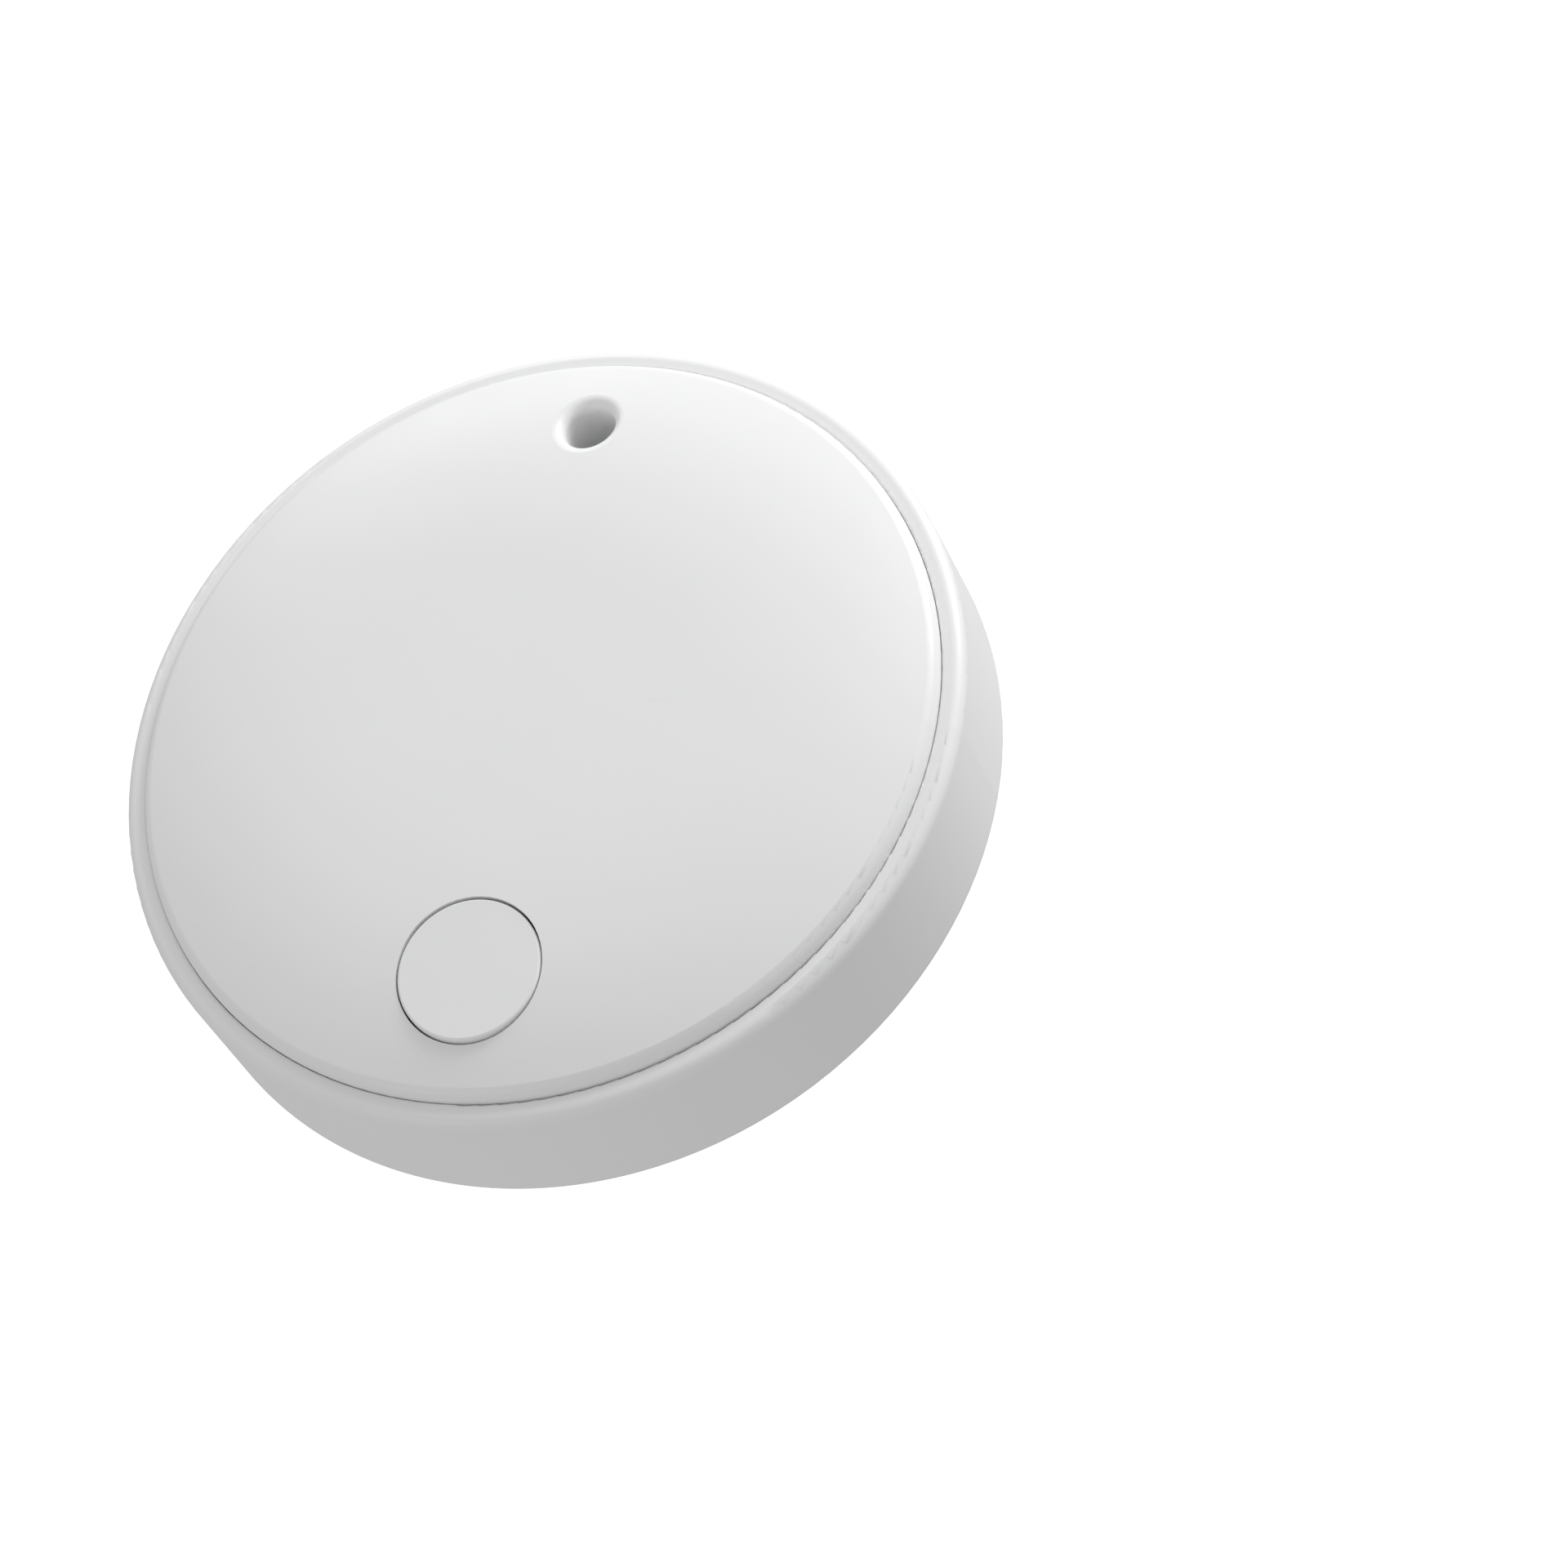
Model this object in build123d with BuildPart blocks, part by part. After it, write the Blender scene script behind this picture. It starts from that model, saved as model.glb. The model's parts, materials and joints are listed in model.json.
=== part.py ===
from build123d import *
from math import atan2, cos, radians, sin
import os

# Bluetooth tracker tag, millimetres. +Z points out of the front face, +Y from the
# centre to the keyring hole. The origin is the centre of the flat back face.

# ---- casing ----
outer_radius = 18.0
total_height = 9.8
panel_rise = 1.8  # height of the front cover's flat above its rim
door_rise = 1.7
rim_corner_radius = 0.5
rim_inner_edge = 0.12
recess_radius = 17.05
panel_radius = 17.03
door_radius = 16.97
crown_flat_radius = 4.5
panel_crown = (16.62, 1.24)  # where the crown meets the rounded edge: radius and drop
door_crown = (16.35, 1.14)
cover_thickness = 1.5

rim_back_z = door_rise
rim_front_z = total_height - panel_rise
front_inner_z = total_height - cover_thickness
back_inner_z = cover_thickness

# ---- keyring hole ----
hole_y = 13.46
bore_radius = 1.1
hole_lip_radius = 0.45
tube_radius = 2.1
tube_foot_z = 1.55
tube_tip_radius = 1.5
tube_tip_z = 0.8
tube_tip_lip = 0.15
tube_relief_radius = 2.4
back_hole_radius = 1.6
back_lip_radius = 0.3
lug_width = 2.8
lug_end_y = 16.8
lug_slot_width = lug_width + 0.5
lug_slot_depth = 3.6

# ---- pry dimple in the back cover ----
dimple_angle = 125.0  # degrees from +X
dimple_distance = 13.9
dimple_radius = 1.15
dimple_floor_z = 1.3
dimple_floor_radius = 0.6
dimple_lip = 0.12
dimple_boss_radius = 1.9
dimple_boss_z = 2.15

# ---- side ring ----
wall_radius = 16.1
front_ledge_z = 7.0
back_ledge_z = 2.7
back_ledge_top_z = 3.6
back_ledge_radius = 15.2
groove_radius = 15.4
groove_low_z = 2.9
groove_high_z = 3.3

# ---- front cover and its bonding ring ----
skirt_radius = 15.4
skirt_z = 7.15
adhesive_margin = 0.05

# ---- button and its boot ----
button_y = -11.87
button_opening_radius = 3.1
button_radius = 3.02
button_edge_radius = 0.1
button_tilt = 4.0  # degrees, the top leans outwards with the crown
button_top_z = 9.49  # at the button's own axis
button_flange_radius = 3.4
button_flange_low_z = 7.8
button_flange_high_z = 8.25
button_post_radius = 1.1
button_post_z = 7.55
boot_foot_radius = 3.5
boot_foot_thickness = 0.35
boot_wall_radius = 3.1
boot_inner_radius = 2.8
boot_top_radius = 1.45
boot_top_z = 7.53
boot_pad_radius = 1.2
boot_pad_z = 7.25
boot_slope = 0.45  # height of the conical web
boot_inner_slope = 0.35

# ---- back cover ----
seal_land_z = 2.25
spigot_outer_radius = 15.0
spigot_inner_radius = 14.3
spigot_z = 3.4
ridge_radius = 15.14
ridge_low_z = 2.95
ridge_high_z = 3.25
ridge_angles = (5, 165, 235, 295)
ridge_sweep = 18.0
seal_inner_radius = 15.9
seal_outer_radius = 16.7
seal_top_z = 2.67
seal_edge_radius = 0.1
pad_radius = 6.0
pad_top_z = 1.75

# ---- coin cell, 20 mm across and 3.2 mm thick ----
cell_radius = 10.0
cell_back_z = 1.8
cell_front_z = 5.0
can_wall = 0.3
can_edge_radius = 0.35
crimp_edge_radius = 0.17
crimp_low_z = 4.5
crimp_inner_z = 4.6
crimp_top_z = 4.82
can_rim_z = 4.7
can_mouth_radius = 9.4
lid_radius = 8.9
lid_wall = 0.25
lid_foot_z = 2.7
gasket_foot_z = 2.3
core_radius = 8.6

# ---- battery frame ----
bay_radius = 10.2
bay_wall_radius = 11.0
frame_radius = 16.0
frame_plate_low_z = 3.6
frame_plate_high_z = 4.7
frame_rim_radius = 14.9
screw_boss_radius = 1.5
pilot_radius = 0.62
contact_window = (1.2, 5.4)
contact_window_x = -10.54

# ---- circuit board and screws ----
board_radius = 15.7
board_low_z = 5.5
board_top_z = 6.3
screw_distance = 13.0
screw_angles = (30, 150, 217, 323)
screw_clearance_radius = 0.75
screw_radius = 0.6
screw_tip_z = 3.9
screw_head_radius = 1.15
screw_head_z = 6.8
screw_head_chamfer = 0.15
screw_slot_width = 0.3
screw_slot_length = 1.5
screw_slot_depth = 0.25

# ---- contacts ----
side_contact_width = 5.0
side_contact_inner_x = 10.04
side_contact_thickness = 0.2
side_contact_low_z = 2.5
side_contact_tab = 2.2
centre_contact_radius = 2.6
contact_finger_angles = (90, 210, 330)
contact_finger_root = 2.0
contact_finger_reach = 6.5
contact_finger_toe = 0.5
contact_finger_width = 1.6
contact_finger_tip_z = 5.04
contact_sheet = 0.15

# ---- sounder ----
sounder_y = 0.5
sounder_radius = 7.5
sounder_foam_inner_radius = 6.6
sounder_foam_z = 8.0
sounder_disc_z = 7.82
ceramic_radius = 5.6
ceramic_z = 7.7
sounder_spring_width = 0.9
sounder_spring_foot = 2.2
sounder_spring_heel = 1.6
sounder_spring_toe = 0.3
ceramic_spring_x = 2.5
disc_spring_x = 6.3

# ---- parts on the board's front side: width, depth, height, and place ----
bluetooth_chip_size = (5.0, 5.0, 0.85)
bluetooth_chip_spot = (-6.0, 4.0)
chip_chamfer = 0.1
motion_sensor_size = (2.0, 2.0, 0.7)
motion_sensor_spot = (-6.5, -4.5)
main_crystal_size = (3.2, 2.5, 0.7)
main_crystal_spot = (-7.0, 8.8)
clock_crystal_size = (2.0, 1.2, 0.6)
clock_crystal_spot = (-11.0, 3.0)
crystal_corner_radius = 0.25
driver_coil_size = (3.0, 3.0, 1.2)
driver_coil_spot = (7.5, -4.5)
driver_coil_corner_radius = 0.6
driver_transistor_size = (2.9, 1.3, 1.0)
driver_transistor_spot = (10.5, 1.0)
transistor_lead_size = (0.4, 0.9, 0.2)
transistor_lead_pitch = 0.95
transistor_lead_overlap = 0.19
transistor_standoff = 0.1
antenna_size = (7.0, 2.0, 0.8)
antenna_spot = (6.5, 10.8)
capacitor_size = (1.0, 0.5, 0.5)
capacitor_spots = ((-1.0, 5.0), (-12.0, -2.0))
resistor_size = (1.0, 0.5, 0.35)
resistor_spots = ((-1.0, 9.5), (5.0, -7.0))
small_part_pitch = 1.6

# ---- switch ----
switch_size = 3.0
switch_top_z = 6.85
switch_well_z = 6.32
switch_lead = 0.5
switch_lead_spacing = 1.6
switch_lead_thickness = 0.15
plunger_radius = 0.75
plunger_clearance = 0.06
plunger_low_z = 6.6
plunger_top_z = 7.23
plunger_edge_radius = 0.1

hole_spot = (0, hole_y)
button_spot = (0, button_y)
sounder_spot = (0, sounder_y)
UPRIGHT = (Align.CENTER, Align.CENTER, Align.MIN)


def ring_spots(distance, angles):
    """Points at one distance from the axis."""
    return [(distance * cos(radians(a)), distance * sin(radians(a))) for a in angles]


def post(radius, low, high, *spots, mode=Mode.ADD):
    """Upright cylinders between two heights, in the open part."""
    with Locations(*[(x, y, low) for x, y in spots or [(0, 0)]]):
        Cylinder(radius, high - low, align=UPRIGHT, mode=mode)


def block(width, depth, low, high, *spots, mode=Mode.ADD):
    """Upright boxes between two heights, in the open part."""
    with Locations(*[(x, y, low) for x, y in spots or [(0, 0)]]):
        Box(width, depth, high - low, align=UPRIGHT, mode=mode)


def side_plane(angle, origin=(0, 0, 0)):
    """Upright plane whose x runs outwards at an angle from +X, and whose y is +Z."""
    x_dir = (cos(radians(angle)), sin(radians(angle)), 0)
    z_dir = (sin(radians(angle)), -cos(radians(angle)), 0)
    return Plane(origin=origin, x_dir=x_dir, z_dir=z_dir)


def annulus(inner, outer):
    """Flat ring, in the open sketch."""
    Circle(outer)
    Circle(inner, mode=Mode.SUBTRACT)


def cover_outline(face_z, side, cover_radius, crown):
    """A cover's flat, crown and rounded edge, in the open line; side is +1 in front, -1 behind.
    Returns the edge's end, where the outline turns straight inwards."""
    crown_radius, crown_drop = crown
    reach = crown_radius - crown_flat_radius
    third = reach / 3
    slope = atan2(crown_drop, third)
    edge_radius = (cover_radius - crown_radius) / (1 - sin(slope))
    crown_end = (crown_radius, face_z - side * crown_drop)
    edge_end = (cover_radius, crown_end[1] - side * edge_radius * cos(slope))
    Line((0, face_z), (crown_flat_radius, face_z))
    Bezier(
        (crown_flat_radius, face_z),
        (crown_flat_radius + third, face_z),
        (crown_flat_radius + 2 * third, face_z),
        crown_end,
    )
    TangentArc(crown_end, edge_end, tangent=(third, -side * crown_drop))
    return edge_end


# ==== side ring: wall, rims, ledges and the keyring tube ====
with BuildPart() as side_ring:
    with BuildSketch(Plane.XZ) as ring_section:
        with BuildLine():
            Polyline(
                (outer_radius, rim_back_z),
                (outer_radius, rim_front_z),
                (recess_radius, rim_front_z),
                (recess_radius, front_ledge_z),
                (wall_radius, front_ledge_z),
                (wall_radius, back_ledge_top_z),
                (back_ledge_radius, back_ledge_top_z),
                (back_ledge_radius, groove_high_z),
                (groove_radius, groove_high_z),
                (groove_radius, groove_low_z),
                (back_ledge_radius, groove_low_z),
                (back_ledge_radius, back_ledge_z),
                (recess_radius, back_ledge_z),
                (recess_radius, rim_back_z),
                close=True,
            )
        make_face()
        fillet(ring_section.vertices().group_by(Axis.X)[-1], rim_corner_radius)
        for rim_z in (rim_back_z, rim_front_z):
            inner_corner = ring_section.vertices().sort_by_distance((recess_radius, rim_z))[0]
            fillet(inner_corner, rim_inner_edge)
    revolve(axis=Axis.Z)
    lug_length = lug_end_y - hole_y
    block(lug_width, lug_length, back_ledge_z, front_ledge_z, (0, hole_y + lug_length / 2))
    post(tube_radius, tube_foot_z, front_inner_z, hole_spot)
    post(tube_tip_radius, tube_tip_z, tube_foot_z, hole_spot)
    post(bore_radius, 0, total_height, hole_spot, mode=Mode.SUBTRACT)
    tip_edges = side_ring.edges().group_by(Axis.Z)[0]
    fillet(tip_edges.sort_by(SortBy.RADIUS)[0], tube_tip_lip)

# ==== front cover: pillow panel with the button opening and the hole's mouth ====
with BuildPart() as front_cover:
    with BuildSketch(Plane.XZ):
        with BuildLine():
            edge_end = cover_outline(total_height, 1, panel_radius, panel_crown)
            Polyline(
                edge_end,
                (panel_radius, skirt_z),
                (skirt_radius, skirt_z),
                (skirt_radius, front_inner_z),
                (0, front_inner_z),
                (0, total_height),
            )
        make_face()
    revolve(axis=Axis.Z)
    post(tube_relief_radius, skirt_z, front_inner_z, hole_spot, mode=Mode.SUBTRACT)
    post(button_opening_radius, front_inner_z, total_height, button_spot, mode=Mode.SUBTRACT)
    post(bore_radius, front_inner_z, total_height, hole_spot, mode=Mode.SUBTRACT)
    mouth_walls = front_cover.faces().filter_by(GeomType.CYLINDER)
    hole_wall = mouth_walls.sort_by_distance((0, hole_y, front_inner_z))[0]
    fillet(hole_wall.edges().sort_by(Axis.Z)[-1], hole_lip_radius)

# ==== bonding ring under the front cover ====
with BuildPart() as cover_adhesive:
    with BuildSketch(Plane.XY.offset(front_ledge_z)):
        annulus(wall_radius + adhesive_margin, panel_radius - adhesive_margin)
    extrude(amount=skirt_z - front_ledge_z)

# ==== button cap: leaning flat disc, retaining flange and centre post ====
with BuildPart() as button_cap:
    post(button_post_radius, button_post_z, button_flange_low_z, button_spot)
    post(button_flange_radius, button_flange_low_z, button_flange_high_z, button_spot)
    post(button_radius, button_flange_high_z, total_height, button_spot)
    lean = (0, -sin(radians(button_tilt)), cos(radians(button_tilt)))
    button_top = Plane(origin=(0, button_y, button_top_z), z_dir=lean)
    split(bisect_by=button_top, keep=Keep.BOTTOM)
    fillet(button_cap.faces().sort_by(Axis.Z)[-1].edges(), button_edge_radius)

# ==== silicone boot between the button and the switch ====
with BuildPart() as button_boot:
    boot_foot_z = board_top_z + boot_foot_thickness
    with BuildSketch(side_plane(0, (0, button_y, 0))):
        with BuildLine():
            Polyline(
                (boot_inner_radius, board_top_z),
                (boot_foot_radius, board_top_z),
                (boot_foot_radius, boot_foot_z),
                (boot_wall_radius, boot_foot_z),
                (boot_wall_radius, boot_top_z - boot_slope),
                (boot_top_radius, boot_top_z),
                (0, boot_top_z),
                (0, boot_pad_z),
                (boot_pad_radius, boot_pad_z),
                (boot_inner_radius, boot_pad_z - boot_inner_slope),
                close=True,
            )
        make_face()
    revolve(axis=Axis((0, button_y, 0), (0, 0, 1)))

# ==== tactile switch ====
with BuildPart() as switch_body:
    block(switch_size, switch_size, board_top_z, switch_top_z, button_spot)
    lead_x = (switch_size + switch_lead) / 2
    lead_y = switch_lead_spacing / 2
    lead_spots = [(x, button_y + y) for x in (-lead_x, lead_x) for y in (-lead_y, lead_y)]
    block(switch_lead, switch_lead, board_top_z, board_top_z + switch_lead_thickness, *lead_spots)
    well_radius = plunger_radius + plunger_clearance
    post(well_radius, switch_well_z, switch_top_z, button_spot, mode=Mode.SUBTRACT)

with BuildPart() as switch_plunger:
    post(plunger_radius, plunger_low_z, plunger_top_z, button_spot)
    fillet(switch_plunger.edges().group_by(Axis.Z)[-1], plunger_edge_radius)

# ==== back cover: pillow battery door with spigot, hole mouth and pry dimple ====
with BuildPart() as back_cover:
    with BuildSketch(Plane.XZ):
        with BuildLine():
            edge_end = cover_outline(0, -1, door_radius, door_crown)
            Polyline(
                edge_end,
                (door_radius, seal_land_z),
                (spigot_outer_radius, seal_land_z),
                (spigot_outer_radius, spigot_z),
                (spigot_inner_radius, spigot_z),
                (spigot_inner_radius, back_inner_z),
                (0, back_inner_z),
                (0, 0),
            )
        make_face()
    revolve(axis=Axis.Z)
    for angle in ridge_angles:
        with BuildSketch(side_plane(angle)):
            with Locations((spigot_outer_radius, (ridge_low_z + ridge_high_z) / 2)):
                Rectangle(2 * (ridge_radius - spigot_outer_radius), ridge_high_z - ridge_low_z)
        revolve(axis=Axis.Z, revolution_arc=ridge_sweep)
    post(tube_relief_radius, back_inner_z, spigot_z, hole_spot, mode=Mode.SUBTRACT)
    post(back_hole_radius, 0, back_inner_z, hole_spot, mode=Mode.SUBTRACT)
    mouth_walls = back_cover.faces().filter_by(GeomType.CYLINDER)
    hole_wall = mouth_walls.sort_by_distance((0, hole_y, back_inner_z))[0]
    fillet(hole_wall.edges().sort_by(Axis.Z)[0], back_lip_radius)
    dimple_spot = ring_spots(dimple_distance, [dimple_angle])[0]
    post(dimple_boss_radius, back_inner_z, dimple_boss_z, dimple_spot)
    post(dimple_radius, 0, dimple_floor_z, dimple_spot, mode=Mode.SUBTRACT)
    floor_edge = back_cover.edges().sort_by_distance((*dimple_spot, dimple_floor_z))[0]
    fillet(floor_edge, dimple_floor_radius)
    dimple_walls = back_cover.faces().filter_by(GeomType.CYLINDER)
    dimple_wall = dimple_walls.sort_by_distance((*dimple_spot, dimple_floor_z / 2))[0]
    fillet(dimple_wall.edges().sort_by(Axis.Z)[0], dimple_lip)

# ==== silicone seal on the back cover's land ====
with BuildPart() as seal_ring:
    with BuildSketch(Plane.XY.offset(seal_land_z)):
        annulus(seal_inner_radius, seal_outer_radius)
    extrude(amount=seal_top_z - seal_land_z)
    fillet(seal_ring.edges(), seal_edge_radius)

# ==== foam pad that keeps the cell on its contact ====
with BuildPart() as battery_pad:
    post(pad_radius, back_inner_z, pad_top_z)

# ==== coin cell: can, gasket, lid and electrode stack ====
with BuildPart() as battery_can:
    with BuildSketch(Plane.XZ) as can_section:
        with BuildLine():
            Polyline(
                (0, cell_back_z),
                (cell_radius, cell_back_z),
                (cell_radius, can_rim_z),
                (can_mouth_radius, crimp_top_z),
                (can_mouth_radius, crimp_inner_z),
                (cell_radius - can_wall, crimp_low_z),
                (cell_radius - can_wall, cell_back_z + can_wall),
                (0, cell_back_z + can_wall),
                close=True,
            )
        make_face()
        for rim_z, radius in ((cell_back_z, can_edge_radius), (can_rim_z, crimp_edge_radius)):
            outer_corner = can_section.vertices().sort_by_distance((cell_radius, rim_z))[0]
            fillet(outer_corner, radius)
    revolve(axis=Axis.Z)

with BuildPart() as battery_gasket:
    with BuildSketch(Plane.XZ):
        with BuildLine():
            Polyline(
                (lid_radius, gasket_foot_z),
                (cell_radius - can_wall, gasket_foot_z),
                (cell_radius - can_wall, crimp_low_z),
                (can_mouth_radius, crimp_inner_z),
                (can_mouth_radius, crimp_top_z),
                (lid_radius, crimp_top_z),
                close=True,
            )
        make_face()
    revolve(axis=Axis.Z)

with BuildPart() as battery_lid:
    post(lid_radius, lid_foot_z, cell_front_z)
    fillet(battery_lid.edges().group_by(Axis.Z)[-1], can_edge_radius)
    post(lid_radius - lid_wall, lid_foot_z, cell_front_z - lid_wall, mode=Mode.SUBTRACT)

with BuildPart() as battery_core:
    post(core_radius, cell_back_z + can_wall, cell_front_z - lid_wall)

# ==== battery frame: cell bay, plate, board rim and screw bosses ====
screw_spots = ring_spots(screw_distance, screw_angles)
with BuildPart() as battery_frame:
    with BuildSketch(Plane.XZ):
        with BuildLine():
            Polyline(
                (bay_radius, cell_back_z),
                (bay_wall_radius, cell_back_z),
                (bay_wall_radius, frame_plate_low_z),
                (frame_radius, frame_plate_low_z),
                (frame_radius, board_low_z),
                (frame_rim_radius, board_low_z),
                (frame_rim_radius, frame_plate_high_z),
                (bay_radius, frame_plate_high_z),
                close=True,
            )
        make_face()
    revolve(axis=Axis.Z)
    post(screw_boss_radius, frame_plate_high_z, board_low_z, *screw_spots)
    post(pilot_radius, frame_plate_low_z, board_low_z, *screw_spots, mode=Mode.SUBTRACT)
    post(tube_relief_radius, 0, total_height, hole_spot, mode=Mode.SUBTRACT)
    slot_spot = (0, hole_y + lug_slot_depth / 2)
    block(lug_slot_width, lug_slot_depth, 0, total_height, slot_spot, mode=Mode.SUBTRACT)
    block(*contact_window, 0, total_height, (contact_window_x, 0), mode=Mode.SUBTRACT)

# ==== circuit board ====
with BuildPart() as circuit_board:
    post(board_radius, board_low_z, board_top_z)
    post(screw_clearance_radius, board_low_z, board_top_z, *screw_spots, mode=Mode.SUBTRACT)
    post(tube_relief_radius, board_low_z, board_top_z, hole_spot, mode=Mode.SUBTRACT)
    block(lug_slot_width, lug_slot_depth, board_low_z, board_top_z, slot_spot, mode=Mode.SUBTRACT)

# ==== board screws ====
with BuildPart() as board_screws:
    post(screw_radius, screw_tip_z, board_top_z, *screw_spots)
    post(screw_head_radius, board_top_z, screw_head_z, *screw_spots)
    chamfer(board_screws.edges().group_by(Axis.Z)[-1], screw_head_chamfer)
    slot_low_z = screw_head_z - screw_slot_depth
    slot = (screw_slot_length, screw_slot_width)
    for width, depth in (slot, slot[::-1]):
        block(width, depth, slot_low_z, screw_head_z, *screw_spots, mode=Mode.SUBTRACT)

# ==== battery contacts ====
with BuildPart() as side_contact:
    strip_x = -(side_contact_inner_x + side_contact_thickness / 2)
    block(
        side_contact_thickness,
        side_contact_width,
        side_contact_low_z,
        board_low_z,
        (strip_x, 0),
    )
    tab_x = -(side_contact_inner_x + side_contact_tab / 2)
    tab_low_z = board_low_z - side_contact_thickness
    block(side_contact_tab, side_contact_width, tab_low_z, board_low_z, (tab_x, 0))

with BuildPart() as centre_contact:
    plate_low_z = board_low_z - contact_sheet
    toe_reach = contact_finger_reach + contact_finger_toe
    post(centre_contact_radius, plate_low_z, board_low_z)
    for angle in contact_finger_angles:
        with BuildSketch(side_plane(angle)):
            with BuildLine():
                Polyline(
                    (contact_finger_root, plate_low_z),
                    (contact_finger_root, board_low_z),
                    (contact_finger_reach, contact_finger_tip_z + contact_sheet),
                    (toe_reach, contact_finger_tip_z + 2 * contact_sheet),
                    (toe_reach, contact_finger_tip_z + contact_sheet),
                    (contact_finger_reach, contact_finger_tip_z),
                    close=True,
                )
            make_face()
        extrude(amount=contact_finger_width / 2, both=True)

# ==== sounder: foam ring, brass disc, ceramic disc and two contact springs ====
with BuildPart() as sounder_foam:
    with BuildSketch(Plane.XY.offset(sounder_foam_z)):
        with Locations(sounder_spot):
            annulus(sounder_foam_inner_radius, sounder_radius)
    extrude(amount=front_inner_z - sounder_foam_z)

with BuildPart() as sounder_disc:
    post(sounder_radius, sounder_disc_z, sounder_foam_z, sounder_spot)

with BuildPart() as sounder_ceramic:
    post(ceramic_radius, ceramic_z, sounder_disc_z, sounder_spot)

with BuildPart() as sounder_springs:
    for x, top_z in ((ceramic_spring_x, ceramic_z), (disc_spring_x, sounder_disc_z)):
        with BuildSketch(Plane.XZ.offset(-sounder_y)):
            with BuildLine():
                Polyline(
                    (x - sounder_spring_foot, board_top_z),
                    (x, board_top_z),
                    (x, board_top_z + contact_sheet),
                    (x - sounder_spring_heel, board_top_z + contact_sheet),
                    (x, top_z - contact_sheet),
                    (x, top_z),
                    (x - sounder_spring_toe, top_z),
                    (x - sounder_spring_foot, board_top_z + contact_sheet),
                    close=True,
                )
            make_face()
        extrude(amount=sounder_spring_width / 2, both=True)

# ==== parts on the board's front side ====
def chip(size, spot, lift=0):
    """A part's body on the board, in the open part; lift is the gap under it."""
    width, depth, height = size
    block(width, depth, board_top_z + lift, board_top_z + height, spot)


with BuildPart() as bluetooth_chip:
    chip(bluetooth_chip_size, bluetooth_chip_spot)
    chamfer(bluetooth_chip.edges().group_by(Axis.Z)[-1], chip_chamfer)

with BuildPart() as motion_sensor:
    chip(motion_sensor_size, motion_sensor_spot)
    chamfer(motion_sensor.edges().group_by(Axis.Z)[-1], chip_chamfer)

with BuildPart() as main_crystal:
    chip(main_crystal_size, main_crystal_spot)
    fillet(main_crystal.edges().filter_by(Axis.Z), crystal_corner_radius)

with BuildPart() as clock_crystal:
    chip(clock_crystal_size, clock_crystal_spot)
    fillet(clock_crystal.edges().filter_by(Axis.Z), crystal_corner_radius)

with BuildPart() as driver_coil:
    chip(driver_coil_size, driver_coil_spot)
    fillet(driver_coil.edges().filter_by(Axis.Z), driver_coil_corner_radius)

with BuildPart() as driver_transistor:
    chip(driver_transistor_size, driver_transistor_spot, transistor_standoff)
    lead_width, lead_depth, lead_height = transistor_lead_size
    x, y = driver_transistor_spot
    lead_reach = (driver_transistor_size[1] + lead_depth) / 2 - transistor_lead_overlap
    leads = [
        (x - transistor_lead_pitch, y - lead_reach),
        (x + transistor_lead_pitch, y - lead_reach),
        (x, y + lead_reach),
    ]
    block(lead_width, lead_depth, board_top_z, board_top_z + lead_height, *leads)

with BuildPart() as antenna:
    chip(antenna_size, antenna_spot)

with BuildPart() as capacitors:
    with Locations(*[(x, y, board_top_z) for x, y in capacitor_spots]):
        with GridLocations(small_part_pitch, small_part_pitch, 2, 3):
            Box(*capacitor_size, align=UPRIGHT)

with BuildPart() as resistors:
    with Locations(*[(x, y, board_top_z) for x, y in resistor_spots]):
        with GridLocations(small_part_pitch, small_part_pitch, 1, 2):
            Box(*resistor_size, align=UPRIGHT)

pieces = {
    "side_ring": side_ring,
    "front_cover": front_cover,
    "cover_adhesive": cover_adhesive,
    "button_cap": button_cap,
    "button_boot": button_boot,
    "switch_body": switch_body,
    "switch_plunger": switch_plunger,
    "back_cover": back_cover,
    "seal_ring": seal_ring,
    "battery_pad": battery_pad,
    "battery_can": battery_can,
    "battery_gasket": battery_gasket,
    "battery_lid": battery_lid,
    "battery_core": battery_core,
    "battery_frame": battery_frame,
    "circuit_board": circuit_board,
    "board_screws": board_screws,
    "side_contact": side_contact,
    "centre_contact": centre_contact,
    "sounder_foam": sounder_foam,
    "sounder_disc": sounder_disc,
    "sounder_ceramic": sounder_ceramic,
    "sounder_springs": sounder_springs,
    "bluetooth_chip": bluetooth_chip,
    "motion_sensor": motion_sensor,
    "main_crystal": main_crystal,
    "clock_crystal": clock_crystal,
    "driver_coil": driver_coil,
    "driver_transistor": driver_transistor,
    "antenna": antenna,
    "capacitors": capacitors,
    "resistors": resistors,
}

os.makedirs("parts", exist_ok=True)
for name, piece in pieces.items():
    piece.part.label = name
    export_step(piece.part, f"parts/{name}.step")
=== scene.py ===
import json
import math

import bmesh
import bpy
from mathutils import Matrix, Vector


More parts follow.
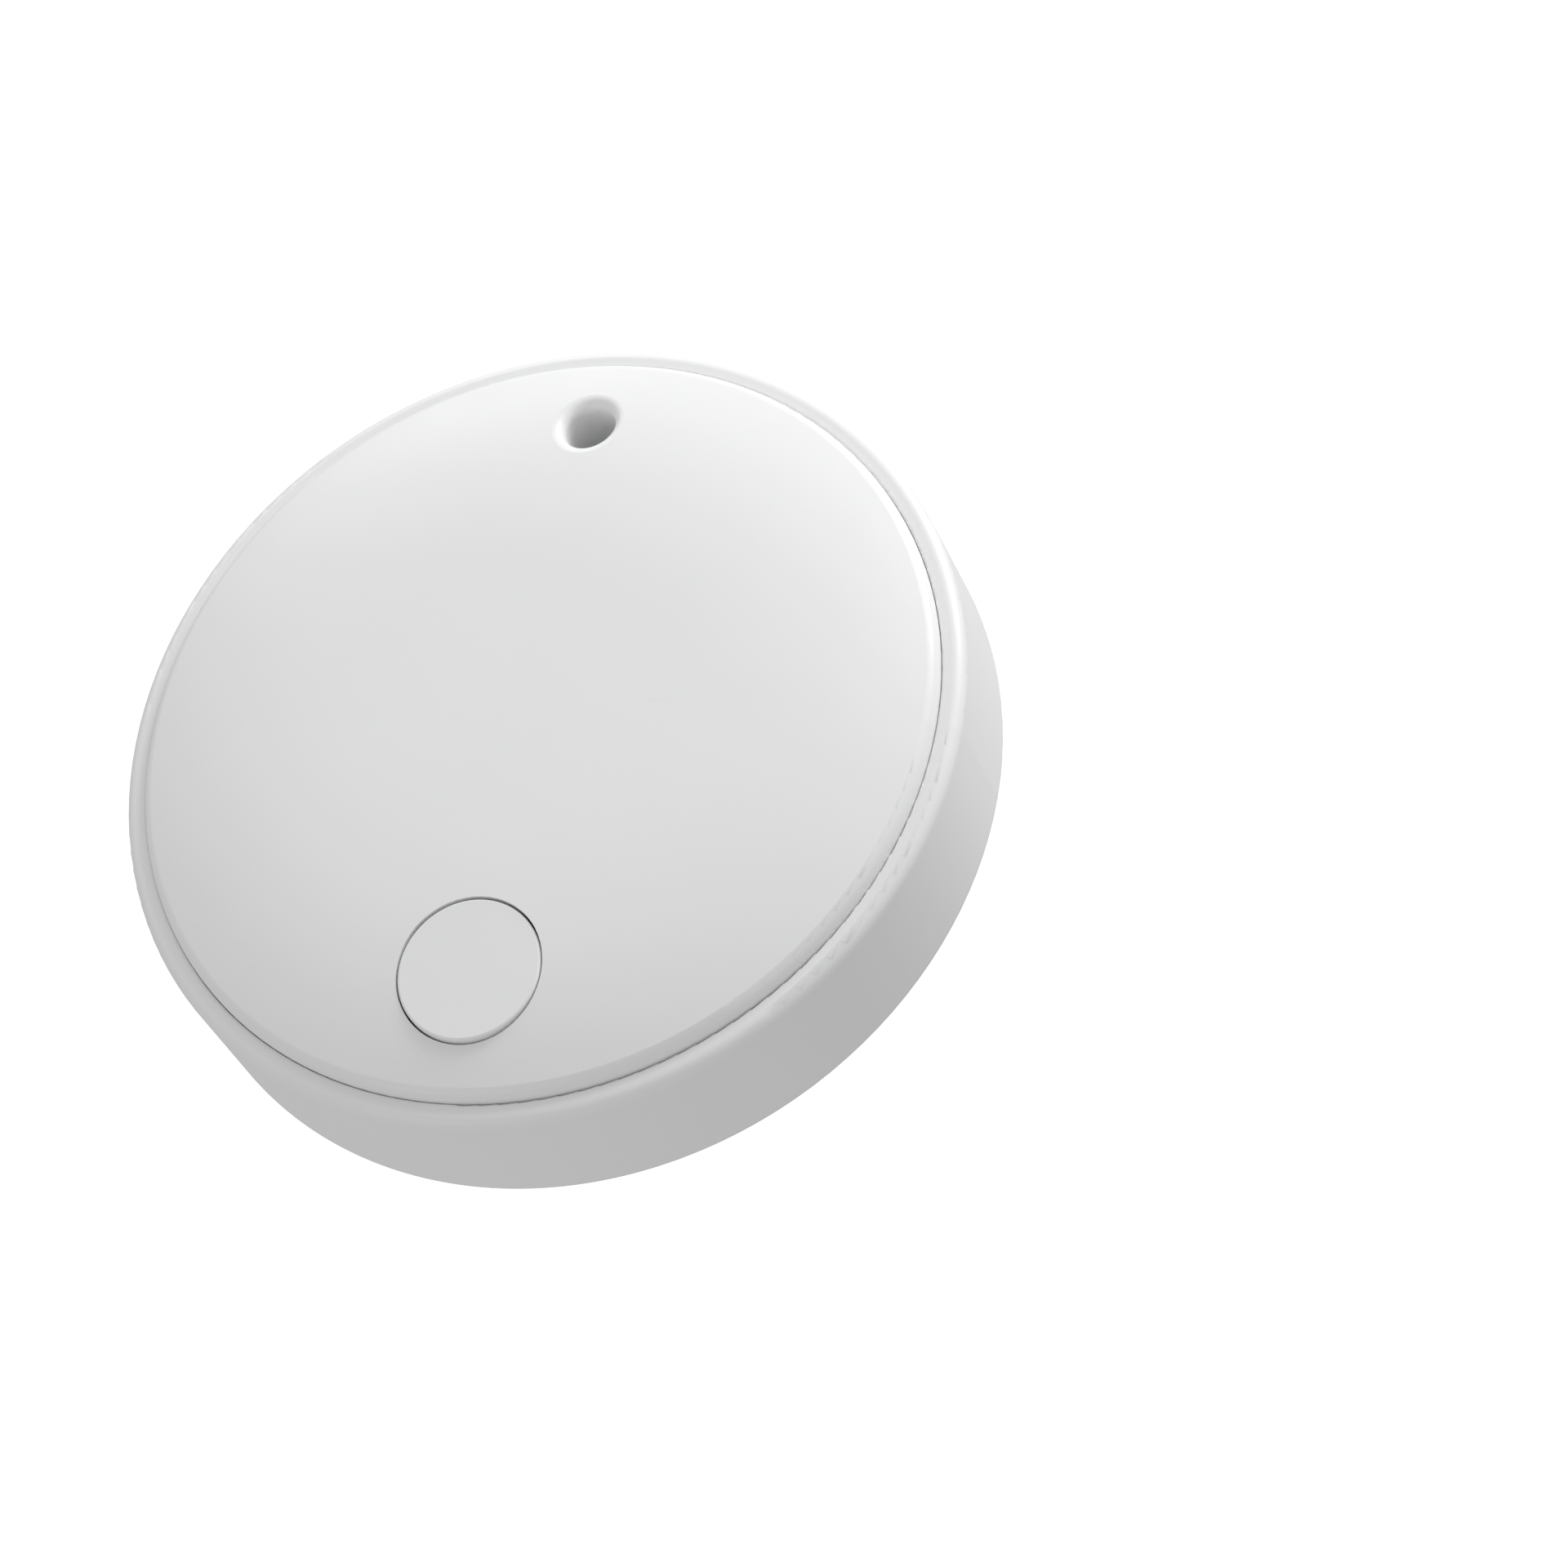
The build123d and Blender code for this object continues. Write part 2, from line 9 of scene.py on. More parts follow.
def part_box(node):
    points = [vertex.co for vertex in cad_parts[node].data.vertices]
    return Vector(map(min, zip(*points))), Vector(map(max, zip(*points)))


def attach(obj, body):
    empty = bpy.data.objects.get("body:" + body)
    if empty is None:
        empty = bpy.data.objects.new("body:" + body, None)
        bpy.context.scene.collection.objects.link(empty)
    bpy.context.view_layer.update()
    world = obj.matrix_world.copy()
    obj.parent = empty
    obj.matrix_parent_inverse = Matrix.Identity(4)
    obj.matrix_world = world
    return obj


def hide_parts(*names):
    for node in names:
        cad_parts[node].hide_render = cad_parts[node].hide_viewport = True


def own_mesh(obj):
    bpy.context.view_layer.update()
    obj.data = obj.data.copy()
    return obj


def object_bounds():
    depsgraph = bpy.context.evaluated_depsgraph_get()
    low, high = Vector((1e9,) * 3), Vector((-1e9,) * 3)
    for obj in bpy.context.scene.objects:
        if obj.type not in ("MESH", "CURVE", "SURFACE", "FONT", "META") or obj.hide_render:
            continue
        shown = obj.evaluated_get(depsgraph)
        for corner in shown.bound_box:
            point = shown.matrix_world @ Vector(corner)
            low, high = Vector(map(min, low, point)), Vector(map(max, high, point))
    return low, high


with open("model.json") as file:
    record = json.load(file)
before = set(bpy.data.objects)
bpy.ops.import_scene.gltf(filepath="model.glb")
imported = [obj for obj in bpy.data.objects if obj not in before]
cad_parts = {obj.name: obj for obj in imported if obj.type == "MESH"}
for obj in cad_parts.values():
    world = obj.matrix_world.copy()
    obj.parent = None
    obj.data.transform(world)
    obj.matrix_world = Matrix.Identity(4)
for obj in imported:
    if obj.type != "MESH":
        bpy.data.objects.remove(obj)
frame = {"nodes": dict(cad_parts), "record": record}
cad_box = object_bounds()
nodes = frame["nodes"]
scene = bpy.context.scene
MM = 0.001

# ---- camera: where it looks from, how it is turned, and what it aims at ----
CAMERA_ELEVATION = 56.06  # degrees above the tag's front plane
CAMERA_AZIMUTH = 37.16  # degrees, 0 looks along +Y
CAMERA_ROLL = 31.66  # degrees
CAMERA_DISTANCE = 12.734  # in tag radii, from the aim point
CAMERA_AIM = (0.6093, -0.1364)  # in tag radii, from the tag's axis
CAMERA_AIM_DEPTH = 0.1224  # in tag radii, below the front cover's top
CAMERA_LENS = 132.2  # millimetres
CAMERA_SENSOR = 36.0  # millimetres
CAMERA_CLIP_START = 0.01  # metres
CAMERA_CLIP_END = 10.0  # metres

# ---- studio: name, azimuth and elevation in degrees, distance and width in metres, power in watts ----
LIGHTS = (
    ("key", 60.0, 20.0, 0.40, 0.20, 1.0),
    ("near_key", 60.0, 40.0, 0.14, 0.08, 0.02),
    ("back_key", 120.0, 20.0, 0.40, 0.20, 0.20),
    ("front_fill", 240.0, 30.0, 0.40, 0.20, 0.125),
)
SKY_STRENGTH = 0.50

# ---- floor: it glows and is seen by the camera, but doesn't light the tag ----
FLOOR_DEPTH = 0.5  # metres below the tag, out of the way of views from below
FLOOR_SIZE = 40.0  # metres
FLOOR_CELLS = 8  # along each side
FLOOR_GLOW = 0.75
FLOOR_COLOUR = (0.6, 0.6, 0.6)
FLOOR_ROUGHNESS = 0.8
FLOOR_CLOUD = 40 * MM
FLOOR_CLOUD_SHADE = 0.995

# ---- meshes made here ----
LATHE_STEPS = 160  # round the axis
CORNER_STEPS = 5  # along a rounded corner
CORNER_SHARE = 0.45  # of an edge's length, the most that one corner takes
ON_AXIS = 1e-9  # metres from the axis, and less
MERGE_DISTANCE = 1e-7  # metres
SMOOTH_ANGLE = math.radians(38)

# ---- shading: the values that a noise mostly has, and the edge mask's limits ----
NOISE_LOW = 0.3
NOISE_HIGH = 0.7
EDGE_TURNED = 0.86  # cosine of the turn where an edge shows fully
EDGE_FLAT = 0.995  # cosine of the turn where it no longer shows
EDGE_SAMPLES = 4

tag_low, tag_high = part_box("side_ring")
TAG_RADIUS = (tag_high.x - tag_low.x) / 2
tag_centre = (tag_low + tag_high) / 2


# ==== shader building blocks ====
def put(tree, kind, inputs=None, **settings):
    """Adds a node, with its settings, and its inputs as values or as sockets to link."""
    node = tree.nodes.new(kind)
    for key, value in settings.items():
        setattr(node, key, value)
    for key, value in (inputs or {}).items():
        if isinstance(value, bpy.types.NodeSocket):
            tree.links.new(value, node.inputs[key])
        else:
            node.inputs[key].default_value = value
    return node


def rgba(colour):
    return (*colour, 1.0)


def shade(colour, factor):
    return tuple(min(1.0, c * factor) for c in colour)


def noise(tree, place, size, detail=2.0, distortion=0.0):
    """Noise whose lumps are about size metres across."""
    inputs = {"Vector": place, "Scale": 1 / size, "Detail": detail, "Distortion": distortion}
    return put(tree, "ShaderNodeTexNoise", inputs).outputs["Fac"]


def ramp(tree, factor, *stops):
    """Colour along stops of (position, colour)."""
    node = put(tree, "ShaderNodeValToRGB", {"Fac": factor})
    elements = node.color_ramp.elements
    while len(elements) < len(stops):
        elements.new(0.5)
    for element, (position, colour) in zip(elements, stops):
        element.position = position
        element.color = rgba(colour)
    return node.outputs["Color"]


def spread(tree, value, low, high, start=0.0, end=1.0):
    """value from start..end, moved to low..high and held there."""
    inputs = {"Value": value, "From Min": start, "From Max": end, "To Min": low, "To Max": high}
    return put(tree, "ShaderNodeMapRange", inputs).outputs["Result"]


def maths(tree, operation, a, b):
    node = put(tree, "ShaderNodeMath", operation=operation)
    for socket, value in zip(node.inputs, (a, b)):
        if isinstance(value, bpy.types.NodeSocket):
            tree.links.new(value, socket)
        else:
            socket.default_value = value
    return node.outputs["Value"]


def bump(tree, height, depth, under=None):
    """Bumps depth metres high."""
    inputs = {"Height": height, "Distance": depth, "Strength": 1.0}
    if under is not None:
        inputs["Normal"] = under
    return put(tree, "ShaderNodeBump", inputs).outputs["Normal"]


def blend_colours(tree, factor, base, over):
    """base, with over laid on it by factor."""
    node = put(tree, "ShaderNodeMix", data_type="RGBA", clamp_factor=True)
    for index, value in ((0, factor), (6, base), (7, over)):
        if isinstance(value, bpy.types.NodeSocket):
            tree.links.new(value, node.inputs[index])
        else:
            node.inputs[index].default_value = value
    return node.outputs[2]


def edge_mask(tree, radius):
    """1 along convex and concave edges narrower than radius, 0 on open faces."""
    bevelled = put(tree, "ShaderNodeBevel", {"Radius": radius}, samples=EDGE_SAMPLES).outputs["Normal"]
    flat = put(tree, "ShaderNodeNewGeometry").outputs["Normal"]
    facing = put(tree, "ShaderNodeVectorMath", operation="DOT_PRODUCT")
    tree.links.new(bevelled, facing.inputs[0])
    tree.links.new(flat, facing.inputs[1])
    return spread(tree, facing.outputs["Value"], 1.0, 0.0, start=EDGE_TURNED, end=EDGE_FLAT)


def mottled(tree, factor, dark, light):
    """Colour from dark to light, over the values that a noise mostly has."""
    return ramp(tree, factor, (NOISE_LOW, dark), (NOISE_HIGH, light))


def uneven(tree, factor, middle, change):
    """A number up to change above and below middle, over the values that a noise mostly has."""
    return spread(tree, factor, middle - change, middle + change, start=NOISE_LOW, end=NOISE_HIGH)


def lighten_edges(tree, edges, share, body, edge_colour):
    """body, with edge_colour laid along the edges by share."""
    return blend_colours(tree, maths(tree, "MULTIPLY", edges, share), body, rgba(edge_colour))


def start(name, roughness, metallic=0.0):
    """A new material: its tree, its shader and its place in metres."""
    material = bpy.data.materials.new(name)
    material.use_nodes = True
    tree = material.node_tree
    surface = tree.nodes["Principled BSDF"]
    surface.inputs["Roughness"].default_value = roughness
    surface.inputs["Metallic"].default_value = metallic
    place = put(tree, "ShaderNodeTexCoord").outputs["Object"]
    return material, tree, surface, place


def finish(tree, surface, colour, roughness, normal):
    tree.links.new(colour, surface.inputs["Base Color"])
    tree.links.new(roughness, surface.inputs["Roughness"])
    tree.links.new(normal, surface.inputs["Normal"])


# ==== materials ====
def moulded(name, colour, roughness, grain=0.12 * MM, depth=0.001 * MM, tint=0.03, wear=1.06):
    """Moulded plastic: cloudy colour, spark-eroded grain and edges rubbed a little lighter and smoother."""
    cloud_size = 9 * MM
    patch_size = 3 * MM
    edge_width = 0.15 * MM
    wear_share = 0.6
    edge_polish = 0.06
    patch_change = 0.035
    speck_change = 0.03
    material, tree, surface, place = start(name, roughness)
    cloud = noise(tree, place, cloud_size, detail=3.0)
    body = mottled(tree, cloud, shade(colour, 1 - tint), shade(colour, 1 + tint))
    edges = edge_mask(tree, edge_width)
    rubbed = lighten_edges(tree, edges, wear_share, body, shade(colour, wear))
    fine = noise(tree, place, grain)
    patch = uneven(tree, noise(tree, place, patch_size, detail=4.0), 0.0, patch_change)
    speck = spread(tree, fine, roughness - speck_change, roughness + speck_change, start=0.35, end=0.65)
    unworn = maths(tree, "ADD", speck, patch)
    polished = maths(tree, "SUBTRACT", unworn, maths(tree, "MULTIPLY", edges, edge_polish))
    finish(tree, surface, rubbed, polished, bump(tree, fine, depth))
    return material


def white_plastic():
    """The satin white of the casing, under a thin clear coat."""
    colour = (0.87, 0.872, 0.875)
    material = moulded(
        "white_plastic", colour, 0.42, grain=0.09 * MM, depth=0.0006 * MM, tint=0.006, wear=1.04
    )
    surface = material.node_tree.nodes["Principled BSDF"]
    surface.inputs["Coat Weight"].default_value = 0.12
    surface.inputs["Coat Roughness"].default_value = 0.28
    return material


def soft(name, colour, roughness, pore, depth, translucency=0.0, sheen=0.0):
    """Silicone or foam: pores with painted shade in their pits and painted light on the walls between them,
    a cloudy dusting and a soft sheen.
    """
    light_reach = 0.6 * MM
    cloud_size = 2.5 * MM
    # painted shade in the pores' pits, and painted light on the walls between them
    pit_painted_shade = 0.82
    pore_wall_painted_light = 1.08
    dust_shade = 1.25
    most_dust = 0.35
    roughness_change = 0.06
    material, tree, surface, place = start(name, roughness)
    surface.inputs["Sheen Weight"].default_value = sheen
    surface.inputs["Subsurface Weight"].default_value = translucency
    surface.inputs["Subsurface Radius"].default_value = (light_reach, light_reach, light_reach)
    pores = put(tree, "ShaderNodeTexVoronoi", {"Vector": place, "Scale": 1 / pore}).outputs["Distance"]
    cloud = noise(tree, place, cloud_size, detail=3.0)
    # painted shade: each pore's pit is drawn darker and the walls between pits lighter, following the same
    # pits that the bump sinks
    pores_painted_shade = ramp(tree, pores, (0.0, shade(colour, pit_painted_shade)), (0.5, shade(colour, pore_wall_painted_light)))
    dusty = spread(tree, cloud, 0.0, most_dust, start=0.4, end=0.7)
    body = blend_colours(tree, dusty, pores_painted_shade, rgba(shade(colour, dust_shade)))
    rough = uneven(tree, cloud, roughness, roughness_change)
    finish(tree, surface, body, rough, bump(tree, pores, depth))
    return material


def turned_steel():
    """The coin cell's steel: fine rings from the press, a few scuffs and bright edges."""
    colour = (0.63, 0.63, 0.61)
    roughness = 0.29
    roughness_change = 0.05
    scuff_size = 2.4 * MM
    scuff_tint = 0.05
    edge_width = 0.12 * MM
    edge_share = 0.7
    edge_shade = 1.4
    ring_size = 1.1 * MM
    ring_depth = 0.0004 * MM
    material, tree, surface, place = start("cell_steel", roughness, metallic=1.0)
    rings = put(
        tree,
        "ShaderNodeTexWave",
        {"Vector": place, "Scale": 1 / ring_size, "Distortion": 0.15, "Detail": 2.0},
        wave_type="RINGS",
        rings_direction="Z",
    ).outputs["Fac"]
    scuffs = noise(tree, place, scuff_size, detail=5.0, distortion=0.4)
    body = mottled(tree, scuffs, shade(colour, 1 - scuff_tint), shade(colour, 1 + scuff_tint))
    worn = lighten_edges(tree, edge_mask(tree, edge_width), edge_share, body, shade(colour, edge_shade))
    rough = uneven(tree, scuffs, roughness, roughness_change)
    finish(tree, surface, worn, rough, bump(tree, rings, ring_depth))
    return material


def drawn_metal(name, colour, roughness, stretch=(1, 12, 1)):
    """Sheet or plated metal: streaks along one direction, darker spots and bright edges."""
    streak_size = 0.5 * MM
    streak_depth = 0.0015 * MM
    spot_size = 1.4 * MM
    spot_shade = 0.86
    clean_shade = 1.06
    edge_width = 0.08 * MM
    edge_share = 0.6
    edge_shade = 1.3
    smoothest = roughness - 0.07
    roughest = roughness + 0.1
    material, tree, surface, place = start(name, roughness, metallic=1.0)
    streaked = put(tree, "ShaderNodeMapping", {"Vector": place, "Scale": stretch}).outputs["Vector"]
    streaks = noise(tree, streaked, streak_size, detail=5.0)
    spots = noise(tree, place, spot_size, detail=3.0)
    body = mottled(tree, spots, shade(colour, spot_shade), shade(colour, clean_shade))
    worn = lighten_edges(tree, edge_mask(tree, edge_width), edge_share, body, shade(colour, edge_shade))
    rough = spread(tree, streaks, smoothest, roughest, start=NOISE_LOW, end=NOISE_HIGH)
    finish(tree, surface, worn, rough, bump(tree, streaks, streak_depth))
    return material


def ceramic(name, colour, roughness=0.45):
    """Fired or pressed ceramic: speckled, with a fine grain and lighter edges."""
    speckle_size = 0.16 * MM
    dark_shade = 0.88
    light_shade = 1.1
    edge_width = 0.06 * MM
    edge_share = 0.5
    edge_shade = 1.3
    grain_size = 0.07 * MM
    grain_depth = 0.0015 * MM
    roughness_change = 0.08
    material, tree, surface, place = start(name, roughness)
    grains = put(tree, "ShaderNodeTexVoronoi", {"Vector": place, "Scale": 1 / speckle_size}).outputs["Color"]
    bright = put(tree, "ShaderNodeSeparateColor", {"Color": grains}).outputs["Red"]
    body = ramp(tree, bright, (0.0, shade(colour, dark_shade)), (1.0, shade(colour, light_shade)))
    chipped = lighten_edges(tree, edge_mask(tree, edge_width), edge_share, body, shade(colour, edge_shade))
    fine = noise(tree, place, grain_size, detail=3.0)
    rough = uneven(tree, fine, roughness, roughness_change)
    finish(tree, surface, chipped, rough, bump(tree, fine, grain_depth))
    return material


def board_laminate():
    """Green solder mask with raised diagonal tracks, tinned pads and the glass weave showing through."""
    mask_dark = (0.008, 0.07, 0.028)
    mask_light = (0.018, 0.13, 0.05)
    tin = (0.62, 0.6, 0.54)
    pad_pitch = 1.7 * MM
    pad_reach = 0.16
    track_size = 3.4 * MM
    track_level = 0.55
    track_height = 0.6
    pad_height = 0.4
    relief_depth = 0.012 * MM
    weave_size = 0.2 * MM
    weave_depth = 0.002 * MM
    cloud_size = 4 * MM
    most_cloud = 0.3
    roughness = 0.34
    roughness_change = 0.08
    material, tree, surface, place = start("board_laminate", roughness)
    cells = put(
        tree,
        "ShaderNodeTexVoronoi",
        {"Vector": place, "Scale": 1 / pad_pitch, "Randomness": 0.75},
        feature="F1",
        distance="CHEBYCHEV",
    )
    bands = put(
        tree,
        "ShaderNodeTexWave",
        {"Vector": place, "Scale": 1 / track_size, "Distortion": 0.0},
        wave_type="BANDS",
        bands_direction="DIAGONAL",
    ).outputs["Fac"]
    tracks = maths(tree, "GREATER_THAN", bands, track_level)
    pads = maths(tree, "LESS_THAN", cells.outputs["Distance"], pad_reach)
    green = blend_colours(tree, tracks, rgba(mask_dark), rgba(mask_light))
    cloud = spread(tree, noise(tree, place, cloud_size), 0.0, most_cloud)
    clouded = blend_colours(tree, cloud, green, rgba(mask_dark))
    body = blend_colours(tree, pads, clouded, rgba(tin))
    raised_tracks = maths(tree, "MULTIPLY", tracks, track_height)
    raised_pads = maths(tree, "MULTIPLY", pads, pad_height)
    relief = maths(tree, "ADD", raised_tracks, raised_pads)
    weave = noise(tree, place, weave_size, detail=3.0)
    rough = uneven(tree, weave, roughness, roughness_change)
    woven = bump(tree, weave, weave_depth)
    finish(tree, surface, body, rough, bump(tree, relief, relief_depth, under=woven))
    return material


MATERIALS = {
    "white_plastic": white_plastic(),
    "adhesive": soft(
        "adhesive", (0.5, 0.49, 0.45), 0.35, pore=0.25 * MM, depth=0.004 * MM, translucency=0.2
    ),
    "silicone": soft(
        "silicone", (0.5, 0.52, 0.54), 0.52, pore=0.12 * MM, depth=0.002 * MM, translucency=0.15, sheen=0.1
    ),
    "foam": soft("foam", (0.045, 0.046, 0.05), 0.92, pore=0.16 * MM, depth=0.05 * MM, sheen=0.35),
    "switch_plastic": moulded("switch_plastic", (0.03, 0.03, 0.032), 0.48),
    "plunger_plastic": moulded("plunger_plastic", (0.66, 0.64, 0.58), 0.36),
    "cell_steel": turned_steel(),
    "gasket_plastic": moulded("gasket_plastic", (0.07, 0.08, 0.13), 0.4),
    "electrode": ceramic("electrode", (0.06, 0.06, 0.06), 0.8),
    "frame_plastic": moulded(
        "frame_plastic", (0.055, 0.056, 0.06), 0.52, grain=0.16 * MM, depth=0.004 * MM, tint=0.1, wear=1.6
    ),
    "board_laminate": board_laminate(),
    "screw_steel": drawn_metal("screw_steel", (0.5, 0.5, 0.49), 0.34),
    "contact_metal": drawn_metal("contact_metal", (0.74, 0.69, 0.58), 0.28),
    "sounder_brass": drawn_metal("sounder_brass", (0.78, 0.58, 0.27), 0.3, stretch=(1, 1, 1)),
    "piezo_ceramic": ceramic("piezo_ceramic", (0.62, 0.61, 0.57)),
    "chip_epoxy": moulded(
        "chip_epoxy", (0.022, 0.022, 0.024), 0.55, grain=0.1 * MM, depth=0.003 * MM, tint=0.08, wear=1.5
    ),
    "crystal_metal": drawn_metal("crystal_metal", (0.66, 0.63, 0.56), 0.33),
    "ferrite": ceramic("ferrite", (0.07, 0.07, 0.075), 0.6),
    "antenna_ceramic": ceramic("antenna_ceramic", (0.8, 0.8, 0.77), 0.4),
    "capacitor_ceramic": ceramic("capacitor_ceramic", (0.42, 0.3, 0.2), 0.42),
    "resistor_ceramic": ceramic("resistor_ceramic", (0.035, 0.035, 0.038), 0.3),
}


def paint(piece, slot):
    piece.data.materials.clear()
    piece.data.materials.append(MATERIALS[slot])


for subpart in frame["record"]["subparts"]:
    paint(nodes[subpart["node"]], subpart["material_slot"])


# ==== pieces made here ====
def piece_from(mesh_builder, name, body, slot):
    """Turns a bmesh into a smooth, painted piece that rides on a body."""
    mesh = bpy.data.meshes.new(name)
    bmesh.ops.remove_doubles(mesh_builder, verts=mesh_builder.verts, dist=MERGE_DISTANCE)
    bmesh.ops.recalc_face_normals(mesh_builder, faces=mesh_builder.faces)
    mesh_builder.to_mesh(mesh)
    mesh_builder.free()
    mesh.shade_smooth()
    mesh.set_sharp_from_angle(angle=SMOOTH_ANGLE)
    piece = bpy.data.objects.new(name, mesh)
    scene.collection.objects.link(piece)
    paint(piece, slot)
    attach(piece, body)
    return piece


def rounded(profile, radius):
    """A closed outline of (distance, height) points with its corners rounded."""
    points = []
    for index, corner in enumerate(profile):
        here = Vector(corner)
        to_before = Vector(profile[index - 1]) - here
        to_after = Vector(profile[(index + 1) % len(profile)]) - here
        shorter = min(to_before.length, to_after.length)
        reach = 0.0 if here.x < ON_AXIS else min(radius, CORNER_SHARE * shorter)
        entry = here + to_before.normalized() * reach
        leave = here + to_after.normalized() * reach
        for step in range(CORNER_STEPS + 1 if reach else 1):
            t = step / CORNER_STEPS if reach else 0.0
            points.append(entry * (1 - t) ** 2 + here * 2 * t * (1 - t) + leave * t**2)
    return points


def lathe(profile, centre):
    """A solid turned about an upright axis through centre from a closed outline."""
    builder = bmesh.new()
    rings = []
    for step in range(LATHE_STEPS):
        angle = 2 * math.pi * step / LATHE_STEPS
        outward = Vector((math.cos(angle), math.sin(angle), 0))
        rings.append([
            builder.verts.new(Vector((centre[0], centre[1], point.y)) + outward * point.x)
            for point in profile
        ])
    for ring, following in zip(rings, rings[1:] + rings[:1]):
        for index in range(len(profile)):
            onward = (index + 1) % len(profile)
            if profile[index].x > ON_AXIS or profile[onward].x > ON_AXIS:
                corners = (ring[index], ring[onward], following[onward], following[index])
                builder.faces.new(corners)
    return builder


def middle_of(node):
    low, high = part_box(node)
    return (low + high) / 2


# ---- silicone boot over the switch: foot, thin dome and solid crown ----
BOOT_CORNER = 0.12 * MM
boot_low, boot_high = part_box("button_boot")
boot_middle = middle_of("button_boot")
boot_reach = (boot_high.x - boot_low.x) / 2
boot_height = boot_high.z - boot_low.z


def boot_point(across, up):
    """A point of the boot's outline, at a share of its reach and of its height."""
    return (across * boot_reach, boot_low.z + up * boot_height)


boot_outline = [
    boot_point(0.80, 0.0),  # foot, inner edge
    boot_point(1.0, 0.0),  # foot, outer edge
    boot_point(1.0, 0.28),  # foot, top
    boot_point(0.89, 0.30),  # dome, bottom
    boot_point(0.87, 0.60),  # dome, shoulder
    boot_point(0.42, 1.0),  # crown, rim
    boot_point(0.0, 1.0),  # crown, middle
    boot_point(0.0, 0.79),  # crown's underside, middle
    boot_point(0.33, 0.79),  # crown's underside, rim
    boot_point(0.78, 0.50),  # shoulder, inside
]
boot_solid = lathe(rounded(boot_outline, BOOT_CORNER), boot_middle)
boot = piece_from(boot_solid, "silicone_boot", "casing", "silicone")
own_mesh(boot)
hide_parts("button_boot")

# ---- silicone seal: a flat band with two raised lips ----
SEAL_CORNER = 0.08 * MM
SEAL_WIDTH = 0.8 * MM
LIP_TOP = 0.3 * SEAL_WIDTH
LIP_FOOT = 0.4 * SEAL_WIDTH
BAND_SHARE = 0.7  # of the seal's height, below the lips
seal_low, seal_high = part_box("seal_ring")
seal_outer = (seal_high.x - seal_low.x) / 2
seal_inner = seal_outer - SEAL_WIDTH
seal_step = seal_low.z + BAND_SHARE * (seal_high.z - seal_low.z)
seal_outline = [
    (seal_inner, seal_low.z),
    (seal_outer, seal_low.z),
    (seal_outer, seal_high.z),
    (seal_outer - LIP_TOP, seal_high.z),
    (seal_outer - LIP_FOOT, seal_step),
    (seal_inner + LIP_FOOT, seal_step),
    (seal_inner + LIP_TOP, seal_high.z),
    (seal_inner, seal_high.z),
]
seal = piece_from(lathe(rounded(seal_outline, SEAL_CORNER), (0, 0)), "lipped_seal", "back_door", "silicone")
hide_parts("seal_ring")

# ---- foam pad under the cell: its edge bulges between two flat faces ----
PAD_CORNER = 0.1 * MM
PAD_FACE_SHARE = 0.985  # of the pad's reach
pad_low, pad_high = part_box("battery_pad")
pad_middle = middle_of("battery_pad")
pad_reach = (pad_high.x - pad_low.x) / 2
pad_face = PAD_FACE_SHARE * pad_reach
pad_outline = [
    (0.0, pad_low.z),
    (pad_face, pad_low.z),
    (pad_reach, pad_middle.z),
    (pad_face, pad_high.z),
    (0.0, pad_high.z),
]
pad = piece_from(lathe(rounded(pad_outline, PAD_CORNER), pad_middle), "cell_foam_pad", "back_door", "foam")
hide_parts("battery_pad")

# ---- foam ring round the sounder: its outer edge bulges ----
FOAM_CORNER = 0.06 * MM
FOAM_WIDTH = 0.9 * MM
FOAM_BULGE = 0.03 * FOAM_WIDTH
ring_low, ring_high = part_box("sounder_foam")
ring_middle = middle_of("sounder_foam")
ring_outer = (ring_high.x - ring_low.x) / 2
foam_outline = [
    (ring_outer - FOAM_WIDTH, ring_low.z),
    (ring_outer - FOAM_BULGE, ring_low.z),
    (ring_outer, ring_middle.z),
    (ring_outer - FOAM_BULGE, ring_high.z),
    (ring_outer - FOAM_WIDTH, ring_high.z),
]
foam_solid = lathe(rounded(foam_outline, FOAM_CORNER), ring_middle)
foam_ring = piece_from(foam_solid, "sounder_foam_ring", "casing", "foam")
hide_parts("sounder_foam")


# ==== studio ====
def direction(azimuth, elevation):
    """Unit vector at an azimuth, counted from +X towards +Y, and an elevation."""
    azimuth, elevation = math.radians(azimuth), math.radians(elevation)
    flat = math.cos(elevation)
    return Vector((flat * math.cos(azimuth), flat * math.sin(azimuth), math.sin(elevation)))


